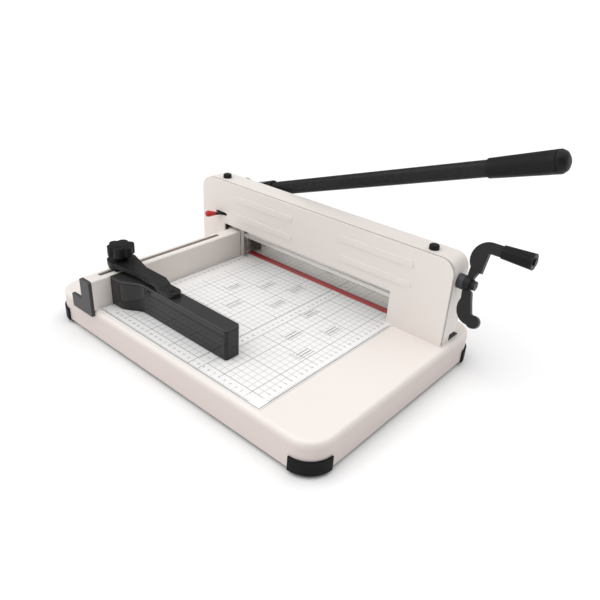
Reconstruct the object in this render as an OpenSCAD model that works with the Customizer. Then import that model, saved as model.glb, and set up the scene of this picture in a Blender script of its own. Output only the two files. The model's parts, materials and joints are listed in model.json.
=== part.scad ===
// Desk guillotine for stacks of paper.
// X runs along the cut, Y runs from the operator to the back, Z is up.
// The origin is on the desk, in the middle of the whole outline.

/* [Base] */
// Width of the base tray
base_w = 541; // [530:1:560]
// Depth of the base tray
base_d = 384; // [380:1:400]
// Height of the tray side
tray_h = 46; // [40:1:50]
// Radius of the tray corners seen from above
corner_r = 36; // [30:1:40]
// Height the pads lift the tray off the desk
pad_h = 7; // [5:1:9]

/* [Head] */
// Height of the head above the table
head_h = 131; // [128:1:140]
// Radius of the upper corners of the head
head_r = 22; // [18:1:26]
// Height of the paper window in the front plate
window_h = 54; // [50:1:58]
// Clear height under the raised clamp
clamp_gap = 38.5; // [36:0.5:40]

/* [Side fence and back gauge] */
// Height of the side fence above the table
fence_h = 47; // [42:1:49]
// Length of the back gauge from the fence to its free end
gauge_len = 235; // [200:5:260]
// Diameter across the lobes of the gauge knob
knob_d = 41; // [36:1:44]

/* [Handle and crank] */
// Length of the handle from its pivot to its end
handle_len = 586; // [540:2:620]
// Angle of the handle above level with the blade down
handle_tilt = 18.1; // [15:0.1:20]
// Radius of the crank grip about the shaft
crank_r = 55; // [52:1:58]

/* [Hidden] */
$fn = 48;

// the parts are drawn about a point near the middle of the board, then moved so
// that the origin is the middle of everything the guillotine covers
base_rt = 260;
base_x = base_rt - base_w / 2;
base_l = base_rt - base_w;
foot_t = 2.6;
cap_tip_r = 6;
pivot_x = -218;
reach_l = foot_t - base_l;
reach_rt = handle_len * cos(handle_tilt) + cap_tip_r * sin(handle_tilt) + pivot_x;
end_cap_t = 5.5;
datum = [(reach_l - reach_rt) / 2, (end_cap_t - foot_t) / 2, 0];

eps = 0.5;            // how far a cutter runs past the face it opens
gap = 0.3;            // free space between parts that slide past each other
run = 0.05;           // radial play of a shaft in its bore

// levels above the desk
tray_top = pad_h + tray_h;
board_t = 1;
table_z = tray_top + board_t;
head_top = table_z + head_h;

// tray
tray_wall = 2;
edge_r = 6;

// layers of the head, front to back
plate_y = 99.5;
plate_t = 3;
guide_y = plate_y + plate_t;
guide_t = 3.5;
inside_y = guide_y + guide_t;
clamp_y = inside_y + 2;
clamp_t = 20.5;
blade_y = 130;
blade_t = 3;
carrier_y = blade_y + blade_t;
carrier_t = 4.5;
back_y = carrier_y + carrier_t + 0.5;
back_t = 4.5;
bolt_head_t = 2.4;
case_in_y = back_y + back_t + 3.3;
case_wall = 2;
case_y = case_in_y + case_wall;

// sides of the head
head_l = -260;
head_rt = base_rt - 11;
side_wall = 2.5;
guide_inset = 4;
case_r = 5;
window_l = -203;
window_r = 156;
column_w = 17.5;

// fence
fence_in = -169;
fence_w = 24;
fence_r = 3;
fence_wall = 2.5;
fence_front = -base_d / 2;
fence_top = table_z + fence_h;
slot_x = fence_in - 13.5;
slot_w = 8;
slot_y0 = -171.5;
slot_y1 = 66.5;
flange_w = 26;
flange_h = 12;
fence_screw_y = [-150, -40, 70];

// cutting stick
stick_s = 10;
stick_y = blade_y - 2;
stick_l = -170;
stick_rt = 229;
channel_t = 2;
notch_y = 122;
notch_h = 10;

// clamp drive
shaft_z = table_z + 99;
shaft_y = 120;
shaft_r = 4.5;
screw_x = [-217, 204];
screw_r = 5;
clamp_h = 22;
lip_h = 6;
lip_t = 3.5;
clamp_z = table_z + clamp_gap;
clamp_l = -236;
clamp_rt = 225;
nut_z = clamp_z + clamp_h;
bearing_z = table_z + 76;
bearing_h = 6;
gear_r = 8;
gear_teeth = 12;

// blade and its carrier
blade_l = -190;
blade_rt = 172;
blade_z = table_z + 0.35;
blade_top = table_z + 62;
bar_z = table_z + 44;
guide_bolt_x = [-120, 100];
guide_bolt_z = table_z + 55;
roller_r = 5;
lift_z = 42;
lift_x = 18;
blade_screw_x = [-160, -80, -10, 60, 140];

// handle drive
pivot_z = table_z + 96;
pivot_r = 8;
arm_angle = 25;
arm_r = lift_z / (2 * sin(arm_angle));
arm_t = 3.5;
arm_y = carrier_y - 0.2 - arm_t;
pin_r = 5.5;
pin_x = pivot_x + arm_r * cos(arm_angle);
pin_z = pivot_z - arm_r * sin(arm_angle);
pin_play = 0.6;
bush_t = 3;
hub_y = case_y + bush_t + gap;
hub_t = 21;
hub_h = 27;
tube_h = 23.2;
tube_w = 16;
tube_y = hub_y + hub_t / 2;
collar_u = 68;
grip_u = handle_len - 102;
grip_end_u = handle_len - 13;

// crank
crank_x = head_rt + 10.4;
crank_t = 8;
boss_t = 2;
crank_reach = 31;
crank_out = crank_x + crank_reach;
crank_dir = atan2(45.5, 23.5);
crank_grip_l = 43;
grip_r1 = 9.5;
grip_r2 = 11.4;

// back gauge
gauge_y = -143.5;
gauge_t = 26;
gauge_l = fence_in + gap;
gauge_rt = gauge_l + gauge_len;
gauge_z = table_z + gap;
gauge_top = table_z + fence_h;
lid_t = 3;
knob_x = slot_x;
knob_y = gauge_y + 14;
strap_t = 7;
strap_z = gauge_top + strap_t;
knob_z = strap_z + strap_t;

// lever
lever_px = -200;
lever_py = 110.5;
lever_z = table_z + 69;
lever_t = 4;
tip_r = 5.8;

// ---- shared shapes ----

// flat outline with four round corners
module round_rect(w, d, r) {
    square([w - 2 * r, d], center = true);
    square([w, d - 2 * r], center = true);
    for (sx = [-1, 1], sy = [-1, 1])
        translate([sx * (w / 2 - r), sy * (d / 2 - r)])
            circle(r);
}

// block given by its low corner and its high corner
module box(a, b) {
    translate(a)
        cube([b[0] - a[0], b[1] - a[1], b[2] - a[2]]);
}

// plate drawn in X and Z and filled from y0 to y1
module sheet(y0, y1) {
    translate([0, y1, 0])
        rotate([90, 0, 0])
            linear_extrude(y1 - y0)
                children();
}

// round bar along Y
module bar_y(x, z, y0, y1, r) {
    translate([x, y1, z])
        rotate([90, 0, 0])
            cylinder(r = r, h = y1 - y0);
}

// round bar along X
module bar_x(y, z, x0, x1, r) {
    translate([x0, y, z])
        rotate([0, 90, 0])
            cylinder(r = r, h = x1 - x0);
}

// outline of the head: square feet, round upper corners
module head_outline(inset) {
    l = head_l + inset;
    r = head_rt - inset;
    t = head_top - inset;
    rr = head_r - inset;
    translate([l, tray_top])
        square([r - l, t - rr - tray_top]);
    translate([l + rr, tray_top])
        square([r - l - 2 * rr, t - tray_top]);
    translate([l + rr, t - rr])
        circle(rr);
    translate([r - rr, t - rr])
        circle(rr);
}

// long slot between two points, drawn in X and Z
module slot_outline(x0, z0, x1, z1, r) {
    l = norm([x1 - x0, z1 - z0]);
    translate([x0, z0])
        rotate([0, 0, atan2(z1 - z0, x1 - x0)]) {
            circle(r);
            translate([l, 0])
                circle(r);
            translate([0, -r])
                square([l, 2 * r]);
        }
}

// hexagonal head along X
module hex_x(y, z, x0, x1, flats) {
    translate([x0, y, z])
        rotate([0, 90, 0])
            cylinder(d = flats / cos(30), h = x1 - x0, $fn = 6);
}

// the corner the stick is pushed out through
module stick_notch() {
    box([230, notch_y + 2, tray_top - eps], [base_rt + 5, case_y + 5, tray_top + notch_h]);
}

// ---- base ----

// cross-section of a tray side with a rounded upper edge, x outward
module side_outline(r, h, e) {
    square([r, h - e]);
    square([r - e, h]);
    translate([r - e, h - e])
        circle(e);
}

module tray_block(w, d, h, r, e) {
    cx = w / 2 - r;
    cy = d / 2 - r;
    translate([-cx, -cy, 0])
        cube([2 * cx, 2 * cy, h]);
    for (turn = [0, 180])
        rotate([0, 0, turn]) {
            translate([-cx, 0, 0])
                rotate([90, 0, 90])
                    linear_extrude(2 * cx)
                        translate([cy, 0])
                            side_outline(r, h, e);
            translate([0, cy, 0])
                rotate([90, 0, 0])
                    linear_extrude(2 * cy)
                        translate([cx, 0])
                            side_outline(r, h, e);
            translate([cx, cy, 0])
                rotate_extrude(angle = 90)
                    side_outline(r, h, e);
            translate([-cx, cy, 0])
                rotate([0, 0, 90])
                    rotate_extrude(angle = 90)
                        side_outline(r, h, e);
        }
}

module tray() {
    color("linen") translate(datum)
    difference() {
        translate([base_x, 0, pad_h])
            tray_block(base_w, base_d, tray_h, corner_r, edge_r);
        translate([base_x, 0, pad_h - eps])
            linear_extrude(tray_h - edge_r + eps)
                round_rect(base_w - 2 * tray_wall, base_d - 2 * tray_wall, corner_r - tray_wall);
        translate([base_x, 0, pad_h])
            linear_extrude(tray_h - tray_wall)
                round_rect(base_w - 2 * edge_r, base_d - 2 * edge_r, corner_r - edge_r);
        box([stick_l - channel_t - 1, stick_y - stick_s / 2 - channel_t, tray_top - 5],
            [base_rt - 20, stick_y + stick_s / 2 + channel_t, tray_top + eps]);
    }
}

module grid_board() {
    color("white") translate(datum) {
        box([fence_in, -184, tray_top], [168, plate_y - 0.1, table_z]);
        box([fence_in, plate_y - 0.1, tray_top],
            [window_r - 0.1, stick_y - stick_s / 2, table_z]);
    }
}

// one corner foot, drawn for the corner with positive X and Y
module corner_foot() {
    cx = base_w / 2 - corner_r;
    cy = base_d / 2 - corner_r;
    band_h = 19;
    translate([cx, cy, 0])
    intersection() {
        union() {
            difference() {
                translate([0, 0, pad_h - 2])
                    cylinder(r = corner_r + foot_t, h = band_h + 2);
                translate([0, 0, pad_h])
                    cylinder(r = corner_r, h = band_h + eps);
                translate([0, 0, pad_h - 2 - eps])
                    cylinder(r = corner_r - 16, h = band_h);
            }
            difference() {
                cylinder(r = corner_r - 3, h = pad_h - 2);
                translate([0, 0, -eps])
                    cylinder(r = corner_r - 16, h = pad_h);
            }
        }
        cube([base_w, base_d, band_h + pad_h]);
    }
}

module foot_front_left() {
    color("black") translate(datum)
    translate([base_x, 0, 0])
        mirror([1, 0, 0])
            mirror([0, 1, 0])
                corner_foot();
}

module foot_front_right() {
    color("black") translate(datum)
    translate([base_x, 0, 0])
        mirror([0, 1, 0])
            corner_foot();
}

module foot_rear_left() {
    color("black") translate(datum)
    translate([base_x, 0, 0])
        mirror([1, 0, 0])
            corner_foot();
}

module foot_rear_right() {
    color("black") translate(datum)
    translate([base_x, 0, 0])
        corner_foot();
}

// ---- fence ----

// cross-section of the rail: square at the table, round along the top
module fence_outline() {
    l = fence_in - fence_w;
    h = fence_top - tray_top;
    translate([l, tray_top])
        square([fence_w, h - fence_r]);
    translate([l + fence_r, tray_top])
        square([fence_w - 2 * fence_r, h]);
    for (x = [l + fence_r, fence_in - fence_r])
        translate([x, fence_top - fence_r])
            circle(fence_r);
}

module fence_rail() {
    l = fence_in - fence_w;
    color("linen") translate(datum)
    difference() {
        union() {
            sheet(fence_front, inside_y - 0.1)
                fence_outline();
            box([l - flange_w, fence_front, tray_top], [l + eps, plate_y - 2, tray_top + flange_h]);
        }
        box([l + fence_wall, fence_front - eps, tray_top + fence_wall],
            [fence_in - fence_wall, inside_y + eps, fence_top - fence_wall]);
        translate([slot_x, 0, fence_top - fence_wall - eps])
            linear_extrude(fence_wall + 2 * eps) {
                translate([0, slot_y0 + slot_w / 2])
                    circle(d = slot_w);
                translate([0, slot_y1 - slot_w / 2])
                    circle(d = slot_w);
                translate([-slot_w / 2, slot_y0 + slot_w / 2])
                    square([slot_w, slot_y1 - slot_y0 - slot_w]);
            }
        for (y = fence_screw_y)
            translate([l - flange_w / 2, y, tray_top - eps])
                cylinder(r = 2.5, h = flange_h + 2 * eps);
    }
}

module fence_end_cap() {
    l = fence_in - fence_w;
    t = end_cap_t;
    color("black") translate(datum) {
        sheet(fence_front - t, fence_front)
            fence_outline();
        box([l - flange_w - 1, fence_front - t, tray_top - 9], [fence_in, fence_front, tray_top + eps]);
        box([l - flange_w - 1, fence_front - t, tray_top],
            [l + eps, fence_front, tray_top + flange_h + 1]);
        box([l + fence_wall, fence_front - eps, tray_top + fence_wall],
            [fence_in - fence_wall, fence_front + 8, fence_top - fence_wall]);
    }
}

module fence_screws() {
    color("silver") translate(datum)
    for (y = fence_screw_y)
        translate([fence_in - fence_w - flange_w / 2, y, tray_top]) {
            cylinder(r = 2.5, h = flange_h);
            translate([0, 0, flange_h])
                cylinder(r = 4.5, h = 2.5);
        }
}

// ---- cutting stick ----

module stick_channel() {
    y0 = stick_y - stick_s / 2;
    y1 = stick_y + stick_s / 2;
    z0 = table_z - stick_s;
    color("silver") translate(datum)
    difference() {
        box([stick_l - channel_t, y0 - channel_t, z0 - channel_t],
            [base_rt - 22, y1 + channel_t, tray_top]);
        box([stick_l, y0, z0], [base_rt - 22 + eps, y1, tray_top + eps]);
    }
}

module cutting_stick() {
    color("firebrick") translate(datum)
    difference() {
        box([stick_l, stick_y - stick_s / 2, table_z - stick_s],
            [stick_rt, stick_y + stick_s / 2, table_z]);
        bar_x(stick_y, table_z - stick_s / 2, stick_rt - 18, stick_rt + eps, 2);
    }
}

// dark wedge that stops the stick at the open end of its channel
module stick_wedge() {
    color("black") translate(datum)
    translate([231, 0, 0])
        rotate([90, 0, 90])
            linear_extrude(head_rt - 231)
                polygon([[125, tray_top], [154, tray_top], [141, tray_top + 8], [127, tray_top + 7]]);
}

// ---- head, fixed parts ----

module window_outline(h) {
    translate([window_l, tray_top - eps])
        square([window_r - window_l, h + eps]);
}

module lever_slot() {
    slot_outline(-223, lever_z + lever_t / 2, -200, lever_z + lever_t / 2, 3);
}

module front_plate() {
    rib_h = 10;
    rib_t = 1.3;
    color("linen") translate(datum) {
        sheet(plate_y, guide_y)
            difference() {
                head_outline(0);
                window_outline(window_h + board_t);
                lever_slot();
            }
        for (x = [[-177, -42], [52, 188]], z = [75, 107])
            sheet(plate_y - rib_t, plate_y + eps)
                slot_outline(x[0] + rib_h / 2, table_z + z, x[1] - rib_h / 2, table_z + z, rib_h / 2);
    }
}

module guide_plate() {
    color("dimgray") translate(datum)
    difference() {
        sheet(guide_y, inside_y)
            difference() {
                head_outline(guide_inset);
                window_outline(window_h + board_t);
                lever_slot();
            }
    }
}

module case_solid() {
    l = head_l + case_r;
    r = head_rt - case_r;
    t = head_top - case_r;
    sheet(inside_y, case_y - case_r)
        head_outline(0);
    sheet(inside_y, case_y)
        head_outline(case_r);
    bar_x(case_y - case_r, t, head_l + head_r, head_rt - head_r, case_r);
    for (x = [l, r])
        translate([x, case_y - case_r, tray_top])
            cylinder(r = case_r, h = head_h + board_t - head_r);
    for (x = [head_l + head_r, head_rt - head_r])
        translate([x, case_y - case_r, head_top - head_r])
            rotate([90, 0, 0])
                rotate_extrude()
                    translate([head_r - case_r, 0])
                        circle(case_r);
}

module head_case() {
    color("linen") translate(datum)
    difference() {
        intersection() {
            case_solid();
            box([-base_w, 0, tray_top], [base_w, base_d, head_top + eps]);
        }
        sheet(inside_y - eps, case_in_y)
            head_outline(side_wall);
        box([head_l + side_wall, inside_y - eps, tray_top - eps],
            [head_rt - side_wall, case_in_y, tray_top + eps]);
        box([window_l + 5, case_in_y - eps, tray_top - eps],
            [190, case_y + eps, table_z + 46]);
        stick_notch();
        bar_y(pivot_x, pivot_z, case_in_y - eps, case_y + eps, pivot_r + run);
        bar_x(shaft_y, shaft_z, head_rt - side_wall - eps, head_rt + eps, 7);
        for (x = screw_x)
            translate([x, shaft_y, head_top - side_wall - eps])
                cylinder(r = 5, h = side_wall + 2 * eps);
    }
}

module head_column(x0, x1) {
    sheet(inside_y, back_y)
        intersection() {
            head_outline(side_wall);
            translate([x0, tray_top])
                square([x1 - x0, head_h - 10]);
        }
}

module column_left() {
    color("gray") translate(datum)
    difference() {
        head_column(head_l + side_wall, head_l + side_wall + column_w);
        bar_x(shaft_y, shaft_z, head_l, head_l + 40, shaft_r + run);
    }
}

module column_right() {
    color("gray") translate(datum)
    difference() {
        head_column(head_rt - side_wall - column_w, head_rt - side_wall);
        bar_x(shaft_y, shaft_z, head_rt - 40, head_rt + eps, shaft_r + run);
        box([head_rt - 40, notch_y + 2, tray_top - eps], [head_rt, case_y, tray_top + notch_h]);
    }
}

module back_plate() {
    color("gray") translate(datum)
    difference() {
        sheet(back_y, back_y + back_t)
            difference() {
                head_outline(side_wall);
                translate([window_l + 5, tray_top - eps])
                    square([190 - window_l - 5, 46 + board_t + eps]);
                translate([pivot_x, pivot_z])
                    circle(pivot_r + run);
                for (x = guide_bolt_x)
                    slot_outline(x, guide_bolt_z, x + lift_x, guide_bolt_z + lift_z,
                        roller_r + gap);
            }
        stick_notch();
    }
}

// upright strips that the clamp runs between
module clamp_guides() {
    front_y = inside_y + 1.7;
    rear_y = clamp_y + clamp_t + gap;
    color("silver") translate(datum) {
        box([fence_in + 1, inside_y, table_z], [fence_in + 9, front_y, table_z + 60]);
        box([window_r + 2, inside_y, tray_top], [window_r + 10, front_y, table_z + 60]);
        box([stick_l - 11, rear_y, tray_top], [stick_l - channel_t - 2, rear_y + 0.9, bar_z - 2]);
    }
}

module screw_bearings() {
    color("gray") translate(datum)
    for (x = screw_x)
        difference() {
            box([x - 12, inside_y, bearing_z], [x + 12, shaft_y + gear_r, bearing_z + bearing_h]);
            translate([x, shaft_y, bearing_z - eps])
                cylinder(r = screw_r + run, h = bearing_h + 2 * eps);
        }
}

module head_cap(x) {
    color("black") translate(datum)
    translate([x, shaft_y, head_top]) {
        translate([0, 0, -side_wall])
            cylinder(r = 5, h = side_wall);
        cylinder(r = 7.4, h = 5.6);
        translate([0, 0, 5.6])
            cylinder(r1 = 7.4, r2 = 6, h = 1.4);
    }
}

module cap_left() {
    head_cap(screw_x[0]);
}

module cap_right() {
    head_cap(screw_x[1]);
}

module crank_bush() {
    color("dimgray") translate(datum)
    difference() {
        union() {
            bar_x(shaft_y, shaft_z, head_rt, crank_x - 0.4, 10.5);
            bar_x(shaft_y, shaft_z, head_rt - side_wall, head_rt + eps, 7);
        }
        bar_x(shaft_y, shaft_z, head_rt - 10, crank_x, shaft_r + run);
    }
}

module pivot_bush() {
    color("dimgray") translate(datum)
    difference() {
        bar_y(pivot_x, pivot_z, case_y, case_y + bush_t, 17);
        bar_y(pivot_x, pivot_z, case_y - eps, case_y + bush_t + eps, pivot_r + run);
    }
}

module case_screws() {
    color("silver") translate(datum)
    for (x = [-240, -100, 90, 232], z = [112])
        bar_y(x, table_z + z, case_y, case_y + 2, 4);
}

// ---- safety lever ----

module lever_bracket() {
    color("dimgray") translate(datum) {
        for (z = [lever_z - 2.3, lever_z + lever_t + gap])
            box([lever_px - 6, inside_y, z], [lever_px + 6, lever_py + 5, z + 2]);
        translate([lever_px, lever_py, lever_z - 2.3])
            cylinder(r = 2, h = lever_t + 4.6);
    }
}

module lever_arm() {
    color("black") translate(datum)
    difference() {
        translate([0, 0, lever_z])
            linear_extrude(lever_t) {
                translate([lever_px, lever_py])
                    circle(4.5);
                polygon([[lever_px - 3.4, lever_py + 2.5], [lever_px + 2.5, lever_py - 3.4],
                    [-209, 96], [-215, 88], [-218.5, 90.5], [-213, 98]]);
            }
        translate([lever_px, lever_py, lever_z - eps])
            cylinder(r = 2 + run, h = lever_t + 2 * eps);
    }
}

module lever_tip() {
    color("firebrick") translate(datum)
    translate([-216.75, 89.25, lever_z + lever_t / 2])
        rotate([0, 0, 234.46])
            rotate([0, 90, 0]) {
                cylinder(r1 = 3.4, r2 = tip_r, h = 12);
                translate([0, 0, 12])
                    sphere(r = tip_r);
            }
}

// ---- clamp ----

module clamp_bar() {
    color("gainsboro") translate(datum)
    difference() {
        box([clamp_l, clamp_y, clamp_z], [clamp_rt, clamp_y + clamp_t, nut_z]);
        box([clamp_l - eps, clamp_y - eps, clamp_z + lip_h], [clamp_rt + eps, clamp_y + lip_t, nut_z + eps]);
        for (x = screw_x)
            translate([x, shaft_y, clamp_z - eps])
                cylinder(r = 7, h = clamp_h + 2 * eps);
    }
}

module clamp_nuts() {
    color("goldenrod") translate(datum)
    for (x = screw_x)
        translate([x, shaft_y, 0])
            difference() {
                union() {
                    translate([0, 0, clamp_z + 6])
                        cylinder(r = 7, h = clamp_h - 6);
                    translate([0, 0, nut_z])
                        cylinder(r = 8.2, h = 3.5);
                }
                translate([0, 0, clamp_z])
                    cylinder(r = screw_r + run, h = clamp_h + 5);
            }
}

module clamp_screw(x) {
    color("silver") translate(datum)
    translate([x, shaft_y, 0]) {
        translate([0, 0, table_z + 2])
            cylinder(r = screw_r, h = bearing_z + bearing_h + gap - table_z - 2);
        translate([0, 0, bearing_z + bearing_h])
            cylinder(r = 3, h = shaft_z - gear_r - bearing_z - bearing_h);
        translate([0, 0, bearing_z - 2.7])
            cylinder(r = 8, h = 2.4);
    }
}

module clamp_screw_left() {
    clamp_screw(screw_x[0]);
}

module clamp_screw_right() {
    clamp_screw(screw_x[1]);
}

// bevel gear standing on its hub, its cone pointing up to the apex at height 0
module bevel_gear(bore, hub) {
    face = gear_r + gap;
    difference() {
        union() {
            translate([0, 0, -face])
                cylinder(r1 = gear_r, r2 = gear_r - 3, h = 3);
            translate([0, 0, -face - 3])
                cylinder(r = gear_r, h = 3);
            translate([0, 0, -face - 3 - hub])
                cylinder(r = 6.6, h = hub);
        }
        translate([0, 0, -face - 4 - hub])
            cylinder(r = bore, h = 30);
        for (i = [0 : gear_teeth - 1])
            rotate([0, 0, i * 360 / gear_teeth])
                translate([gear_r + 0.6, 0, -face - 1])
                    rotate([0, -45, 0])
                        cylinder(r = 0.8, h = 6);
    }
}

module screw_gear(x) {
    color("darkgoldenrod") translate(datum)
    translate([x, shaft_y, shaft_z])
        bevel_gear(3, shaft_z - gear_r - gap - 3 - bearing_z - bearing_h - gap);
}

module screw_gear_left() {
    screw_gear(screw_x[0]);
}

module screw_gear_right() {
    screw_gear(screw_x[1]);
}

module cross_shaft() {
    color("silver") translate(datum)
    bar_x(shaft_y, shaft_z, head_l + side_wall + 4, crank_x + crank_t, shaft_r);
}

module shaft_gears() {
    color("darkgoldenrod") translate(datum)
    for (x = screw_x)
        translate([x, shaft_y, shaft_z])
            rotate([0, -90, 0])
                bevel_gear(shaft_r, 2);
}

// upper half of the crank in its own plane: x outward, y along the arm to the grip
module crank_upper() {
    hook_r = 24;
    hook_x = 17;
    hook_y = crank_r - 16.5;
    intersection() {
        translate([hook_x, hook_y])
            circle(hook_r);
        translate([-10, 18])
            square([hook_x + 9, crank_r]);
    }
    translate([hook_x - 2, crank_r - 8])
        square([crank_reach - hook_x + 2, 15.5]);
    polygon([[0, 0], [crank_t, 0], [crank_t, 8], [14, 24], [hook_x - 1, hook_y], [0, 30], [-1.1, 22.8]]);
}

// lower half, a hook with a round end
module crank_lower() {
    intersection() {
        translate([24.5, -29.5])
            circle(23);
        polygon([[-5, -10], [12.2, -6.9], [17.5, -21.6], [23.5, -35.9], [31, -40], [31, -60], [-5, -60]]);
    }
    translate([30, -46])
        circle(9);
    polygon([[0, 0], [0.5, -12], [3, -22], [17.5, -21.6], [12, -8], [crank_t, 0]]);
}

module crank_arm() {
    plate_w = 8;
    bush_room = 12;
    color("black") translate(datum)
    translate([crank_x, shaft_y, shaft_z])
        rotate([crank_dir, 0, 0])
            difference() {
                union() {
                    translate([0, 0, -plate_w / 2])
                        linear_extrude(plate_w) {
                            crank_upper();
                            crank_lower();
                        }
                    rotate([0, 90, 0])
                        cylinder(r = 10, h = crank_t);
                    rotate([0, 90, 0])
                        cylinder(r = 8, h = crank_t + boss_t);
                }
                rotate([0, 90, 0]) {
                    translate([0, 0, -eps])
                        cylinder(r = shaft_r, h = crank_t + eps);
                    translate([0, 0, -bush_room])
                        cylinder(r = 11.5, h = bush_room);
                    translate([0, 0, crank_t + boss_t])
                        cylinder(r = 9, h = bush_room);
                }
            }
}

module crank_bolt() {
    color("dimgray") translate(datum)
    hex_x(shaft_y, shaft_z, crank_x + crank_t + boss_t, crank_x + crank_t + boss_t + 5, 13);
}

module grip_spindle() {
    y = shaft_y + crank_r * cos(crank_dir);
    z = shaft_z + crank_r * sin(crank_dir);
    color("silver") translate(datum) {
        bar_x(y, z, crank_out, crank_out + crank_grip_l + 1, 3.5);
        bar_x(y, z, crank_out, crank_out + 0.7, 6);
        bar_x(y, z, crank_out + crank_grip_l + 1, crank_out + crank_grip_l + 3, 5);
    }
}

module crank_grip() {
    y = shaft_y + crank_r * cos(crank_dir);
    z = shaft_z + crank_r * sin(crank_dir);
    ribs = 16;
    color("black") translate(datum)
    translate([crank_out + 1, y, z])
        rotate([0, 90, 0])
            difference() {
                cylinder(r1 = grip_r1, r2 = grip_r2, h = crank_grip_l - 0.3);
                translate([0, 0, -eps])
                    cylinder(r = 3.5 + run, h = crank_grip_l + 1);
                for (i = [0 : ribs - 1])
                    rotate([0, 0, i * 360 / ribs])
                        translate([grip_r1 + 0.1, 0, -1])
                            rotate([0, atan2(grip_r2 - grip_r1, crank_grip_l), 0])
                                cylinder(r = 0.8, h = crank_grip_l - 3, $fn = 24);
            }
}

// ---- blade ----

module blade() {
    color("lightsteelblue") translate(datum)
    difference() {
        translate([blade_l, 0, 0])
            rotate([90, 0, 90])
                linear_extrude(blade_rt - blade_l)
                    polygon([[blade_y, blade_z], [blade_y + 0.2, blade_z],
                        [blade_y + blade_t, blade_z + 8], [blade_y + blade_t, blade_top],
                        [blade_y, blade_top]]);
        for (x = blade_screw_x)
            bar_y(x, bar_z + 9, blade_y - eps, blade_y + blade_t + eps, 3.5);
    }
}

module blade_carrier() {
    slot_a = pin_x + 3;
    slot_b = pin_x - lift_x - 3;
    color("gray") translate(datum)
    difference() {
        sheet(carrier_y, carrier_y + carrier_t)
            difference() {
                union() {
                    translate([blade_l + 2, bar_z])
                        square([blade_rt - blade_l - 4, blade_top - bar_z]);
                    translate([slot_b - 10, bar_z])
                        square([slot_a - slot_b + 20, pin_z - bar_z + 10]);
                }
                slot_outline(slot_b, pin_z, slot_a, pin_z, pin_r + pin_play);
                for (x = blade_screw_x)
                    translate([x, bar_z + 9])
                        circle(3.5);
                for (x = guide_bolt_x)
                    translate([x, guide_bolt_z])
                        circle(3);
            }
    }
}

module blade_screws() {
    color("silver") translate(datum)
    for (x = blade_screw_x)
        bar_y(x, bar_z + 9, blade_y, blade_y + blade_t + carrier_t, 3.5);
}

module guide_bolts() {
    color("silver") translate(datum)
    for (x = guide_bolt_x) {
        bar_y(x, guide_bolt_z, carrier_y, back_y, 3);
        bar_y(x, guide_bolt_z, carrier_y + carrier_t, back_y + back_t + gap, roller_r);
        bar_y(x, guide_bolt_z, back_y + back_t + gap, back_y + back_t + gap + bolt_head_t, 8);
    }
}

// ---- handle ----

module along_handle() {
    translate([pivot_x, tube_y, pivot_z])
        rotate([0, -handle_tilt, 0])
            children();
}

// flat-sided oval, drawn in the handle's height and width
module oval(h, w) {
    square([h - w, w], center = true);
    for (s = [-1, 1])
        translate([s * (h - w) / 2, 0])
            circle(d = w);
}

module pivot_shaft() {
    color("silver") translate(datum) {
        bar_y(pivot_x, pivot_z, arm_y, hub_y + hub_t + 1, pivot_r);
        bar_y(pivot_x, pivot_z, hub_y + hub_t, hub_y + hub_t + 2.5, 13);
    }
}

module drive_arm() {
    color("gray") translate(datum)
    difference() {
        sheet(arm_y, arm_y + arm_t)
            difference() {
                union() {
                    translate([pivot_x, pivot_z])
                        circle(14);
                    slot_outline(pivot_x, pivot_z, pin_x, pin_z, 8.5);
                }
                translate([pivot_x, pivot_z])
                    circle(pivot_r);
                translate([pin_x, pin_z])
                    circle(3);
            }
    }
}

module drive_roller() {
    color("silver") translate(datum) {
        bar_y(pin_x, pin_z, arm_y, arm_y + arm_t, 3);
        bar_y(pin_x, pin_z, arm_y + arm_t, carrier_y + carrier_t - gap, pin_r);
    }
}

module handle_hub() {
    color("black") translate(datum)
    difference() {
        union() {
            bar_y(pivot_x, pivot_z, hub_y, hub_y + hub_t, 24);
            along_handle()
                translate([0, 1 - hub_t / 2, -hub_h / 2])
                    cube([collar_u + 1, hub_t - 2, hub_h]);
            along_handle()
                translate([collar_u, 0, 0])
                    rotate([0, 90, 0])
                        linear_extrude(14)
                            oval(tube_h + 6, tube_w + 6);
        }
        bar_y(pivot_x, pivot_z, hub_y - eps, hub_y + hub_t + eps, pivot_r);
        along_handle()
            translate([collar_u + 2, 0, 0])
                rotate([0, 90, 0])
                    linear_extrude(20)
                        oval(tube_h, tube_w);
    }
}

module handle_tube() {
    color("black") translate(datum)
    along_handle()
        translate([collar_u + 2, 0, 0])
            rotate([0, 90, 0])
                difference() {
                    linear_extrude(grip_end_u - collar_u - 2)
                        oval(tube_h, tube_w);
                    translate([0, 0, -eps])
                        linear_extrude(grip_end_u)
                            oval(tube_h - 4, tube_w - 4);
                }
}

module handle_grip() {
    ribs = 32;
    l = grip_end_u - grip_u;
    color("black") translate(datum)
    along_handle()
        translate([grip_u, 0, 0])
            rotate([0, 90, 0])
                difference() {
                    cylinder(r1 = 13.4, r2 = 15.3, h = l);
                    translate([0, 0, -eps])
                        linear_extrude(l + 2 * eps)
                            oval(tube_h, tube_w);
                    for (i = [0 : ribs - 1])
                        rotate([0, 0, i * 360 / ribs])
                            translate([14.2, 0, 14])
                                rotate([0, atan2(1.9, l), 0])
                                    cylinder(r = 0.7, h = l - 22, $fn = 16);
                }
}

module handle_end_cap() {
    color("black") translate(datum)
    along_handle()
        translate([grip_end_u, 0, 0])
            rotate([0, 90, 0]) {
                cylinder(r = 15.3, h = 4);
                translate([0, 0, 4])
                    cylinder(r1 = 15.3, r2 = 12, h = 6);
                translate([0, 0, 10])
                    cylinder(r1 = 12, r2 = cap_tip_r, h = handle_len - grip_end_u - 10);
            }
}

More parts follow.
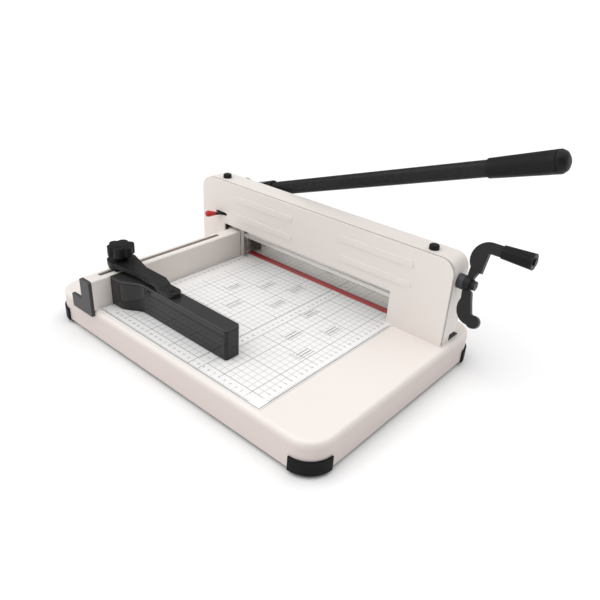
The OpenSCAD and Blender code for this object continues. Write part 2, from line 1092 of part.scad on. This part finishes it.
// two screws through the side of the collar into the tube
module hub_screws() {
    color("silver") translate(datum)
    along_handle()
        for (u = [34, 50])
            translate([u, hub_t / 2, 0])
                rotate([-90, 0, 0])
                    cylinder(r = 4.2, h = 2.2);
}

// ---- back gauge ----

// plan of the gauge: a straight wall that widens toward the fence
module gauge_plan() {
    flare = 18;
    n = 12;
    x0 = gauge_l + 19;
    x1 = gauge_l + 60;
    r = 5;
    translate([gauge_l, gauge_y])
        square([gauge_len - r, gauge_t]);
    translate([gauge_rt - r - eps, gauge_y + r])
        square([r + eps, gauge_t - 2 * r]);
    for (y = [gauge_y + r, gauge_y + gauge_t - r])
        translate([gauge_rt - r, y])
            circle(r);
    polygon(concat(
        [[gauge_l, gauge_y + 1], [gauge_l, gauge_y - flare], [x0, gauge_y - flare]],
        [for (i = [1 : n]) [x0 + (x1 - x0) * i / n, gauge_y - flare * (1 + cos(180 * i / n)) / 2]],
        [[x1, gauge_y + 1]]));
}

module gauge_block() {
    color("black") translate(datum)
    translate([0, 0, gauge_z])
        linear_extrude(gauge_top - lid_t - gauge_z)
            gauge_plan();
}

module gauge_lid() {
    color("black") translate(datum)
    translate([0, 0, gauge_top - lid_t])
        linear_extrude(lid_t)
            gauge_plan();
}

module gauge_strap() {
    w = 22;
    end_x = knob_x + 126;
    ramp_x = knob_x + 97;
    y0 = knob_y - 2 - w / 2;
    color("black") translate(datum)
    difference() {
        union() {
            translate([knob_x, knob_y, strap_z])
                cylinder(r = 22, h = strap_t);
            translate([0, 0, strap_z])
                linear_extrude(strap_t)
                    polygon([[knob_x + 8, knob_y - 20.5], [knob_x + 50, y0], [ramp_x, y0],
                        [ramp_x, y0 + w], [knob_x + 50, y0 + w], [knob_x + 8, knob_y + 20.5]]);
            translate([0, y0 + w, 0])
                rotate([90, 0, 0])
                    linear_extrude(w)
                        polygon([[ramp_x, strap_z], [ramp_x + 8, gauge_top], [ramp_x + 18, gauge_top],
                            [ramp_x + 18, strap_z], [ramp_x + 10, strap_z],
                            [ramp_x, strap_z + strap_t]]);
            translate([ramp_x + 18, y0, gauge_top])
                cube([end_x - ramp_x - 18, w, strap_t]);
            translate([end_x, y0 + w / 2, gauge_top])
                cylinder(r = w / 2, h = strap_t);
        }
        translate([knob_x, knob_y, strap_z - eps])
            cylinder(r = 3 + run, h = strap_t + 2 * eps);
        translate([end_x - 2, y0 + w / 2, gauge_top - eps])
            cylinder(r = 2.5, h = strap_t + 2 * eps);
    }
}

module strap_screw() {
    color("dimgray") translate(datum)
    translate([knob_x + 124, knob_y - 2, gauge_top]) {
        cylinder(r = 2.5, h = strap_t);
        translate([0, 0, strap_t])
            cylinder(r1 = 5, r2 = 3.6, h = 2.2);
    }
}

// shoe on top of the fence with its tongue in the slot
module gauge_shoe() {
    color("dimgray") translate(datum) {
        difference() {
            union() {
                box([knob_x - 10, knob_y - 18, fence_top + gap], [knob_x + 10, knob_y + 18, strap_z]);
                box([knob_x - slot_w / 2 + 0.3, knob_y - 10, fence_top - fence_wall + gap],
                    [knob_x + slot_w / 2 - 0.3, knob_y + 10, fence_top + gap + eps]);
            }
            translate([knob_x, knob_y, fence_top - 10])
                cylinder(r = 3 + run, h = 30);
        }
    }
}

// nut plate that hooks under the edges of the slot
module gauge_t_nut() {
    z1 = fence_top - fence_wall - gap;
    color("silver") translate(datum)
    difference() {
        union() {
            box([knob_x - 7, knob_y - 12, z1 - 4], [knob_x + 7, knob_y + 12, z1]);
            box([knob_x - slot_w / 2 + 0.3, knob_y - 10, z1 - eps],
                [knob_x + slot_w / 2 - 0.3, knob_y + 10, z1 + 2 * gap]);
        }
        translate([knob_x, knob_y, z1 - 5])
            cylinder(r = 3 + run, h = 10);
    }
}

module gauge_knob() {
    lobe_r = 8;
    lobes = 6;
    star_z = knob_z + 8;
    star_h = 15;
    color("black") translate(datum)
    difference() {
        union() {
            translate([knob_x, knob_y, knob_z])
                cylinder(r = 9, h = 9);
            translate([knob_x, knob_y, star_z])
                linear_extrude(star_h) {
                    circle(knob_d / 2 - lobe_r + 4);
                    for (i = [0 : lobes - 1])
                        rotate(i * 360 / lobes + 12)
                            translate([knob_d / 2 - lobe_r, 0])
                                circle(lobe_r);
                }
            translate([knob_x, knob_y, star_z + star_h])
                cylinder(r1 = 14, r2 = 10, h = 1.6);
        }
        translate([knob_x, knob_y, knob_z - eps])
            cylinder(r = 3, h = 14 + eps);
    }
}

// threaded stud of the knob
module gauge_stud() {
    color("silver") translate(datum)
    translate([knob_x, knob_y, fence_top - fence_wall - gap - 7])
        cylinder(r = 3, h = knob_z + 14 - fence_top + fence_wall + gap + 7);
}

tray();
grid_board();
foot_front_left();
foot_front_right();
foot_rear_left();
foot_rear_right();
fence_rail();
fence_end_cap();
fence_screws();
stick_channel();
cutting_stick();
stick_wedge();
front_plate();
guide_plate();
head_case();
column_left();
column_right();
back_plate();
clamp_guides();
screw_bearings();
cap_left();
cap_right();
crank_bush();
pivot_bush();
case_screws();
lever_bracket();
lever_arm();
lever_tip();
clamp_bar();
clamp_nuts();
clamp_screw_left();
clamp_screw_right();
screw_gear_left();
screw_gear_right();
cross_shaft();
shaft_gears();
crank_arm();
crank_bolt();
grip_spindle();
crank_grip();
blade();
blade_carrier();
blade_screws();
guide_bolts();
pivot_shaft();
drive_arm();
drive_roller();
handle_hub();
handle_tube();
handle_grip();
handle_end_cap();
hub_screws();
gauge_block();
gauge_lid();
gauge_strap();
strap_screw();
gauge_shoe();
gauge_t_nut();
gauge_knob();
gauge_stud();
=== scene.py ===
import json
import math
import random

import bmesh
import bpy
from mathutils import Matrix, Vector


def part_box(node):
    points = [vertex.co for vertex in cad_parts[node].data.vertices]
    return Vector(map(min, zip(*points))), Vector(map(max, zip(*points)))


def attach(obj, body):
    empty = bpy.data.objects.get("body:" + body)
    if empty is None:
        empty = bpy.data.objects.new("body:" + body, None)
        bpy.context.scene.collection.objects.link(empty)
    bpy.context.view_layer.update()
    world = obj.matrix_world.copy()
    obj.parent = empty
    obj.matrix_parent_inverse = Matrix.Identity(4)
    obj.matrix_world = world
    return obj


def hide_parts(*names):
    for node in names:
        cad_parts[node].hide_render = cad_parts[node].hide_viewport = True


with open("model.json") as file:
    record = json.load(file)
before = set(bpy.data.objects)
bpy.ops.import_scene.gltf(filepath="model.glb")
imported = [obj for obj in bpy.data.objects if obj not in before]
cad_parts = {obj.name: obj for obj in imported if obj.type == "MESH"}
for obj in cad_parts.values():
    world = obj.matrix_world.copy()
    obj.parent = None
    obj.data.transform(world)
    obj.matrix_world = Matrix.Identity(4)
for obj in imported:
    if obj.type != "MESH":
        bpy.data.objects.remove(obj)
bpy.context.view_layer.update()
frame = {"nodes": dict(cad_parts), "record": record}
SCENE = bpy.context.scene
MM = 0.001
random.seed(7)


# ---------------------------------------------------------------- camera and light

AZIMUTH, ELEVATION, ROLL = 39.73, 28.45, 3.47
LENS, SENSOR = 35.97, 36

# the eye: right of the front plate, in front of the guide plate, above the desk
EYE_RIGHT, EYE_FRONT, EYE_UP = 0.3085, 0.69195, 0.5097

WORLD_LIGHT = 0.30


def add_camera():
    """Camera at the photograph's viewing angle, with its slight roll."""
    az, el, roll = math.radians(AZIMUTH), math.radians(ELEVATION), math.radians(ROLL)
    back = Vector((math.sin(az) * math.cos(el), -math.cos(az) * math.cos(el), math.sin(el)))
    right0 = Vector((math.cos(az), math.sin(az), 0))
    up0 = back.cross(right0)
    right = right0 * math.cos(roll) + up0 * math.sin(roll)
    up = up0 * math.cos(roll) - right0 * math.sin(roll)
    data = bpy.data.cameras.new("camera")
    data.lens = LENS
    data.sensor_width = SENSOR
    data.clip_start = 0.01
    eye = Vector((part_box("front_plate")[1].x + EYE_RIGHT,
                  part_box("guide_plate")[0].y - EYE_FRONT, EYE_UP))
    cam = bpy.data.objects.new("camera", data)
    cam.matrix_world = Matrix((
        (right.x, up.x, back.x, eye.x),
        (right.y, up.y, back.y, eye.y),
        (right.z, up.z, back.z, eye.z),
        (0, 0, 0, 1)))
    SCENE.collection.objects.link(cam)
    SCENE.camera = cam


def soft_sun(name, towards, power, spread_deg):
    """A very wide soft source, like a studio softbox far from the object."""
    data = bpy.data.lights.new(name, "SUN")
    data.energy = power
    data.angle = math.radians(spread_deg)
    o = bpy.data.objects.new(name, data)
    o.rotation_euler = Vector(towards).to_track_quat("Z", "Y").to_euler()
    SCENE.collection.objects.link(o)


def add_lights():
    soft_sun("key", (-0.42, -0.62, 0.66), 1.45, 70)
    soft_sun("top", (0.1, 0.15, 1.0), 1.8, 90)
    soft_sun("back", (0.5, 0.8, 0.5), 0.25, 60)
    world = bpy.data.worlds.new("studio")
    world.use_nodes = True
    bg = world.node_tree.nodes["Background"]
    bg.inputs["Color"].default_value = (1, 1, 1, 1)
    bg.inputs["Strength"].default_value = WORLD_LIGHT
    SCENE.world = world
    SCENE.view_settings.view_transform = "Standard"


# ---------------------------------------------------------------- materials

# heights between which a finish with a low tone, a painted shade near the desk, changes over
# to it
PAINTED_SHADE_FULL, PAINTED_SHADE_NONE = 0.042, 0.0525

# pointiness at which wear starts and is full
WEAR_START, WEAR_FULL = 0.515, 0.56

BUMP_DEPTH = 0.0006
COAT_ROUGHNESS = 0.12


def tree(name):
    mat = bpy.data.materials.new(name)
    mat.use_nodes = True
    nt = mat.node_tree
    return mat, nt, nt.nodes["Principled BSDF"]


def link(nt, a, b):
    nt.links.new(a, b)


def add(nt, kind, **values):
    n = nt.nodes.new(kind)
    for key, v in values.items():
        setattr(n, key, v)
    return n


def coords(nt, scale):
    c = add(nt, "ShaderNodeTexCoord")
    m = add(nt, "ShaderNodeMapping")
    m.inputs["Scale"].default_value = scale
    link(nt, c.outputs["Object"], m.inputs["Vector"])
    return m.outputs["Vector"]


def noise(nt, vector, scale, detail=3.0, rough=0.5):
    n = add(nt, "ShaderNodeTexNoise")
    n.inputs["Scale"].default_value = scale
    n.inputs["Detail"].default_value = detail
    n.inputs["Roughness"].default_value = rough
    link(nt, vector, n.inputs["Vector"])
    return n.outputs["Fac"]


def ramp(nt, fac, stops):
    """Colour from fac, between two stops of position and colour."""
    r = add(nt, "ShaderNodeValToRGB")
    for e, (p, c) in zip(r.color_ramp.elements, stops):
        e.position = p
        e.color = (*c, 1)
    link(nt, fac, r.inputs["Fac"])
    return r.outputs["Color"]


def spread(nt, fac, low, high, lo=0.3, hi=0.7):
    """fac from lo to hi, stretched to low to high."""
    m = add(nt, "ShaderNodeMapRange")
    m.inputs["From Min"].default_value = lo
    m.inputs["From Max"].default_value = hi
    m.inputs["To Min"].default_value = low
    m.inputs["To Max"].default_value = high
    link(nt, fac, m.inputs["Value"])
    return m.outputs["Result"]


def shade(c, k):
    return tuple(min(1.0, v * k) for v in c)


def mix(nt, fac, a, b):
    """Mixes a and b, each a colour or an output."""
    m = add(nt, "ShaderNodeMix", data_type="RGBA")
    link(nt, fac, m.inputs["Factor"])
    for socket, v in ((m.inputs["A"], a), (m.inputs["B"], b)):
        if isinstance(v, tuple):
            socket.default_value = (*v, 1)
        else:
            link(nt, v, socket)
    return m.outputs["Result"]


def surface(name, color, vary=0.05, rough=(0.35, 0.5), grain=900, bump=0.05, metallic=0.0,
            coat=0.0, specular=0.5, stretch=(1, 1, 1), worn=None, blotch=14, low=None):
    """One procedural finish: broad tone change, fine grain in roughness and bump.

    worn is the colour of worn edges. low is a tone near the desk that imitates the
    photograph's shading and isn't a property of the real finish.
    """
    mat, nt, bsdf = tree(name)
    v = coords(nt, (1, 1, 1))
    g = coords(nt, stretch)
    broad = noise(nt, v, blotch, 4)
    fine = noise(nt, g, grain, 5, 0.6)
    tone = ramp(nt, broad, [(0.3, shade(color, 1 - vary)), (0.7, shade(color, 1 + vary))])
    # low is painted shade: the finish turns darker towards the desk, by height
    if low:
        height = add(nt, "ShaderNodeSeparateXYZ")
        link(nt, v, height.inputs["Vector"])
        tone = mix(nt, spread(nt, height.outputs["Z"], 1, 0, PAINTED_SHADE_FULL, PAINTED_SHADE_NONE), tone, low)
    if worn:
        edge = add(nt, "ShaderNodeNewGeometry").outputs["Pointiness"]
        mask = ramp(nt, edge, [(WEAR_START, (0, 0, 0)), (WEAR_FULL, (1, 1, 1))])
        m = add(nt, "ShaderNodeMath", operation="MULTIPLY")
        link(nt, mask, m.inputs[0])
        link(nt, spread(nt, noise(nt, v, 130, 4), 0, 0.8), m.inputs[1])
        tone = mix(nt, m.outputs[0], tone, worn)
    link(nt, tone, bsdf.inputs["Base Color"])
    link(nt, spread(nt, fine, *rough), bsdf.inputs["Roughness"])
    b = add(nt, "ShaderNodeBump")
    b.inputs["Strength"].default_value = bump
    b.inputs["Distance"].default_value = BUMP_DEPTH
    link(nt, fine, b.inputs["Height"])
    link(nt, b.outputs["Normal"], bsdf.inputs["Normal"])
    bsdf.inputs["Metallic"].default_value = metallic
    bsdf.inputs["Coat Weight"].default_value = coat
    bsdf.inputs["Coat Roughness"].default_value = COAT_ROUGHNESS
    bsdf.inputs["Specular IOR Level"].default_value = specular
    return mat


def make_materials():
    """Every finish by name: color, vary, rough, grain and bump, then what else it has."""
    m = {}

    def put(name, *values, **more):
        m[name] = surface(name, *values, **more)

    # low: painted shade that darkens the tray's sides below its rim
    put("cream_paint", (0.80, 0.745, 0.705), 0.008, (0.36, 0.46), 620, 0.05,
        coat=0.12, blotch=6, low=(0.66, 0.575, 0.545))
    put("board_print", (0.86, 0.85, 0.845), 0.015, (0.30, 0.42), 900, 0.02, coat=0.2)
    put("print_ink", (0.20, 0.20, 0.21), 0.12, (0.45, 0.6), 1500, 0.02, blotch=60)
    put("print_soft", (0.33, 0.33, 0.34), 0.10, (0.45, 0.6), 1500, 0.02, blotch=60)
    put("print_wide", (0.30, 0.31, 0.32), 0.08, (0.45, 0.6), 1500, 0.02, blotch=60)
    put("foot_rubber", (0.008, 0.008, 0.009), 0.12, (0.5, 0.7), 1600, 0.08, specular=0.12)
    put("black_plastic", (0.008, 0.008, 0.009), 0.1, (0.32, 0.44), 1400, 0.08,
        specular=0.16, worn=(0.02, 0.02, 0.02))
    put("smoke_plastic", (0.010, 0.009, 0.009), 0.1, (0.05, 0.09), 240, 0.01,
        coat=0.1, specular=0.34, blotch=30)
    put("black_metal", (0.009, 0.009, 0.010), 0.06, (0.30, 0.40), 1400, 0.03,
        specular=0.20, worn=(0.025, 0.025, 0.025))
    put("end_cap_grey", (0.060, 0.059, 0.060), 0.06, (0.4, 0.5), 1400, 0.06, specular=0.3)
    put("lid_grey", (0.034, 0.033, 0.034), 0.08, (0.16, 0.24), 600, 0.02,
        specular=0.4, blotch=30)
    put("red_plastic", (0.52, 0.018, 0.020), 0.08, (0.34, 0.48), 1100, 0.06)
    put("clamp_aluminium", (0.78, 0.76, 0.74), 0.04, (0.30, 0.44), 500, 0.05,
        metallic=0.85, stretch=(0.02, 1, 1))
    put("plate_steel", (0.40, 0.40, 0.41), 0.08, (0.28, 0.45), 600, 0.08,
        metallic=1.0, stretch=(0.05, 1, 1), worn=(0.6, 0.6, 0.6))
    put("dark_iron", (0.06, 0.06, 0.065), 0.15, (0.45, 0.65), 500, 0.15, metallic=0.6)
    put("bearing_brass", (0.50, 0.34, 0.12), 0.1, (0.25, 0.4), 900, 0.06, metallic=1.0)
    put("gear_steel", (0.30, 0.29, 0.28), 0.1, (0.3, 0.45), 900, 0.06, metallic=1.0)
    put("screw_zinc", (0.45, 0.45, 0.44), 0.1, (0.25, 0.4), 1200, 0.05, metallic=1.0)
    put("blade_steel", (0.56, 0.545, 0.52), 0.03, (0.06, 0.11), 500, 0.01,
        metallic=1.0, stretch=(1, 1, 0.03))
    put("floor", (0.93, 0.93, 0.93), 0.004, (0.6, 0.7), 300, 0.01)
    return m


# ---------------------------------------------------------------- mesh helpers

BODY = {n: b for b, ns in frame["record"]["behaviour"]["bodies"].items() for n in ns}
SLOT = {s["node"]: s["material_slot"] for s in frame["record"]["subparts"]}

MERGE = 2e-6
FLAT_ANGLE = math.radians(0.8)
HARD_ANGLE = math.radians(32)


def mesh_object(name, bm, mat):
    me = bpy.data.meshes.new(name)
    bm.to_mesh(me)
    bm.free()
    me.materials.append(mat)
    o = bpy.data.objects.new(name, me)
    SCENE.collection.objects.link(o)
    return o


def new_piece(name, bm, mat, body):
    o = mesh_object(name, bm, mat)
    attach(o, body)


def bake(o):
    """The object's modifiers, turned into its mesh."""
    dg = bpy.context.evaluated_depsgraph_get()
    me = bpy.data.meshes.new_from_object(o.evaluated_get(dg))
    o.modifiers.clear()
    o.data = me


def soften(node, width, segments, mat):
    """The CAD node again, with its hard edges rounded by width millimetres."""
    source = frame["nodes"][node]
    bm = bmesh.new()
    bm.from_mesh(source.data)
    bmesh.ops.remove_doubles(bm, verts=bm.verts, dist=MERGE)
    bmesh.ops.dissolve_limit(bm, angle_limit=FLAT_ANGLE, verts=bm.verts, edges=bm.edges)
    me = bpy.data.meshes.new(node + "_soft")
    bm.to_mesh(me)
    bm.free()
    o = bpy.data.objects.new(node + "_finish", me)
    SCENE.collection.objects.link(o)
    me.materials.append(mat)
    mod = o.modifiers.new("round", "BEVEL")
    mod.width = width * MM
    mod.segments = segments
    mod.limit_method = "ANGLE"
    mod.angle_limit = HARD_ANGLE
    mod.use_clamp_overlap = True
    me.shade_smooth()
    weigh = o.modifiers.new("weigh", "WEIGHTED_NORMAL")
    weigh.weight = 100
    weigh.keep_sharp = True
    bpy.context.view_layer.update()
    bake(o)
    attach(o, BODY[node])
    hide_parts(node)


def quad(bm, x0, y0, x1, y1, z):
    v = [bm.verts.new(p) for p in ((x0, y0, z), (x1, y0, z), (x1, y1, z), (x0, y1, z))]
    bm.faces.new(v)


# ---------------------------------------------------------------- printed board

# one printed square, as fitted across the table (along it the photograph gives 10.0 mm)
SQUARE = 0.0102
FINE_LINE, HEAVY_LINE, TICK_LINE = 0.0005, 0.0008, 0.0003

# how far the ink lies above the board, and stops short of the front plate
INK_LIFT = 0.00004
PLATE_GAP = 0.0004

# corner marks of sheet sizes, by distance from the right and from the front border
MARKS = ((0.035, 0.114), (0.077, 0.139), (0.156, 0.190), (0.202, 0.141), (0.244, 0.181),
         (0.210, 0.225), (0.168, 0.250), (0.100, 0.205), (0.045, 0.190))


def tick(k):
    """Length of the ruler's k-th tick."""
    return 0.0056 if k % 10 == 0 else (0.0044 if k % 5 == 0 else 0.0028)


def board_print(mats):
    """Grid, rulers and size marks printed on the table board, as thin ink on its surface."""
    lo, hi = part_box("grid_board")
    z = hi.z + INK_LIFT
    fence_x = lo.x
    right, front, back = hi.x - 0.002, lo.y + 0.0015, hi.y - 0.0005
    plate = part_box("front_plate")[0].y
    # right end of the opening under the head, where the board runs on to the stick
    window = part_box("cutting_stick")[0].x + 0.3255
    grid_front, grid_right, grid_left = front + 0.019, right - 0.030, fence_x + 0.030
    # the ruler strip that runs across the grid
    strip, strip_w = right - 0.133, 0.0185
    fine, ink, wide = bmesh.new(), bmesh.new(), bmesh.new()

    def hline(bm, y, x0, x1, w):
        quad(bm, x0, y - w / 2, x1, y + w / 2, z)

    def vline(bm, x, y0, y1, w):
        quad(bm, x - w / 2, y0, x + w / 2, y1, z)

    # squares, with a heavier line every fifth
    n = 0
    y = grid_front
    while y < back:
        layer, w = (ink, HEAVY_LINE) if n % 5 == 0 else (fine, FINE_LINE)
        end = right - 0.013 if y < plate - 0.002 else min(grid_right, window)
        for a, b in ((grid_left, strip), (strip + strip_w, end)):
            hline(layer, y, a, b, w)
        y += SQUARE
        n += 1
    n = -1
    x = grid_right + SQUARE
    while x > grid_left:
        layer, w = (ink, HEAVY_LINE) if n % 5 == 0 else (fine, FINE_LINE)
        if not strip < x < strip + strip_w:
            start = grid_front - (0.006 if n % 5 == 0 else 0)
            vline(layer, x, start, back if x < window else plate - PLATE_GAP, w)
        x -= SQUARE
        n += 1

    # borders and the sides of the ruler strip
    vline(wide, right, front, plate - PLATE_GAP, 0.0014)
    hline(wide, front, fence_x + 0.002, right, 0.0012)
    for x in (fence_x + 0.0012, strip, strip + strip_w):
        vline(wide, x, front, back, 0.0010)

    # ticks along the borders and the strip, ten to a square
    k = 0
    y = grid_front
    while y < back - 0.002:
        length = tick(k)
        if y < plate - 0.002:
            hline(ink, y, right - length, right, TICK_LINE)
        hline(ink, y, fence_x + 0.001, fence_x + 0.001 + length, TICK_LINE)
        hline(ink, y, strip, strip + length, TICK_LINE)
        y += SQUARE / 10
        k += 1
    k = 0
    x = grid_right + SQUARE
    while x > fence_x + 0.006:
        vline(ink, x, front, front + tick(k), TICK_LINE)
        x -= SQUARE / 10
        k += 1

    # the size marks, each with two rows of short strokes beside it
    for across, along in MARKS:
        cx, cy = right - across, front + along
        hline(ink, cy, cx - 0.020, cx, HEAVY_LINE)
        vline(ink, cx, cy, cy + 0.030, HEAVY_LINE)
        for row in (0.0045, 0.0100):
            sy = cy + 0.003
            while sy < cy + 0.027:
                step = 0.0012 + 0.0012 * random.random()
                vline(ink, cx - row, sy, sy + step, 0.0026 * (0.6 + 0.4 * random.random()))
                sy += step + 0.0008
    new_piece("board_grid_fine", fine, mats["print_soft"], "base")
    new_piece("board_grid_ink", ink, mats["print_ink"], "base")
    new_piece("board_borders", wide, mats["print_wide"], "base")

    # numbers of the rulers, one to a square: text, place, size and turn
    digits = []
    for i in range(1, 32):
        y = grid_front + (i - 1) * SQUARE
        if y < back - 0.004:
            digits.append((str(i), strip + 0.0110, y, 0.0062, math.pi / 2))
            digits.append((str(i), fence_x + 0.0125, y, 0.0062, math.pi / 2))
        if y < plate - 0.006:
            digits.append((str(i), right - 0.0110, y, 0.0056, math.pi / 2))
    for i in range(1, 31):
        x = grid_right - (i - 1) * SQUARE
        if x > fence_x + 0.020:
            digits.append((str(i), x, front + 0.0100, 0.0056, 0))
    bm = bmesh.new()
    for text, x, y, size, turn in digits:
        cu = bpy.data.curves.new("digit", "FONT")
        cu.body = text
        cu.size = size
        cu.align_x = "CENTER"
        cu.align_y = "CENTER"
        o = bpy.data.objects.new("digit", cu)
        SCENE.collection.objects.link(o)
        o.location = (x, y, z)
        o.rotation_euler = (0, 0, turn)
        bpy.context.view_layer.update()
        dg = bpy.context.evaluated_depsgraph_get()
        me = bpy.data.meshes.new_from_object(o.evaluated_get(dg))
        me.transform(o.matrix_world)
        bm.from_mesh(me)
        bpy.data.objects.remove(o)
        bpy.data.meshes.remove(me)
    new_piece("board_numbers", bm, mats["print_ink"], "base")


# ---------------------------------------------------------------- build

FLOOR_REACH = 60


def add_floor(mats):
    bm = bmesh.new()
    quad(bm, -FLOOR_REACH, -FLOOR_REACH, FLOOR_REACH, FLOOR_REACH, 0)
    o = mesh_object("floor", bm, mats["floor"])


# nodes whose finish is lighter than the rest of their slot
FINISH = {"fence_end_cap": "end_cap_grey", "gauge_lid": "lid_grey"}

# rounding of the hard edges of each visible node: width in millimetres, segments
EDGES = {
    "front_plate": (0.9, 3), "head_case": (0.8, 2), "fence_rail": (0.9, 3),
    "fence_end_cap": (0.7, 2), "gauge_block": (1.2, 3), "gauge_lid": (0.8, 3),
    "gauge_strap": (1.0, 3), "gauge_knob": (1.1, 3), "gauge_shoe": (0.5, 2),
    "strap_screw": (0.3, 2), "clamp_bar": (0.7, 2), "cutting_stick": (0.3, 2),
    "foot_front_left": (0.7, 2), "foot_front_right": (0.7, 2), "foot_rear_left": (0.7, 2),
    "foot_rear_right": (0.7, 2), "cap_left": (0.6, 2), "cap_right": (0.6, 2),
    "crank_arm": (1.0, 3), "crank_bolt": (0.5, 2), "crank_grip": (0.5, 2),
    "crank_bush": (0.5, 2), "handle_hub": (1.0, 3), "handle_tube": (0.4, 2),
    "handle_grip": (0.4, 2), "handle_end_cap": (1.2, 3), "lever_arm": (0.4, 2),
    "stick_wedge": (0.5, 2), "case_screws": (0.5, 2), "pivot_bush": (0.6, 2),
    "fence_screws": (0.6, 2), "pivot_shaft": (0.8, 2), "hub_screws": (0.5, 2),
}


def main():
    add_camera()
    add_lights()
    mats = make_materials()
    add_floor(mats)
    for name, o in frame["nodes"].items():
        for s in o.material_slots:
            s.material = mats[SLOT[name]]
    for node, (width, segments) in EDGES.items():
        finish = FINISH.get(node, SLOT[node])
        soften(node, width, segments, mats[finish])
    board_print(mats)


main()
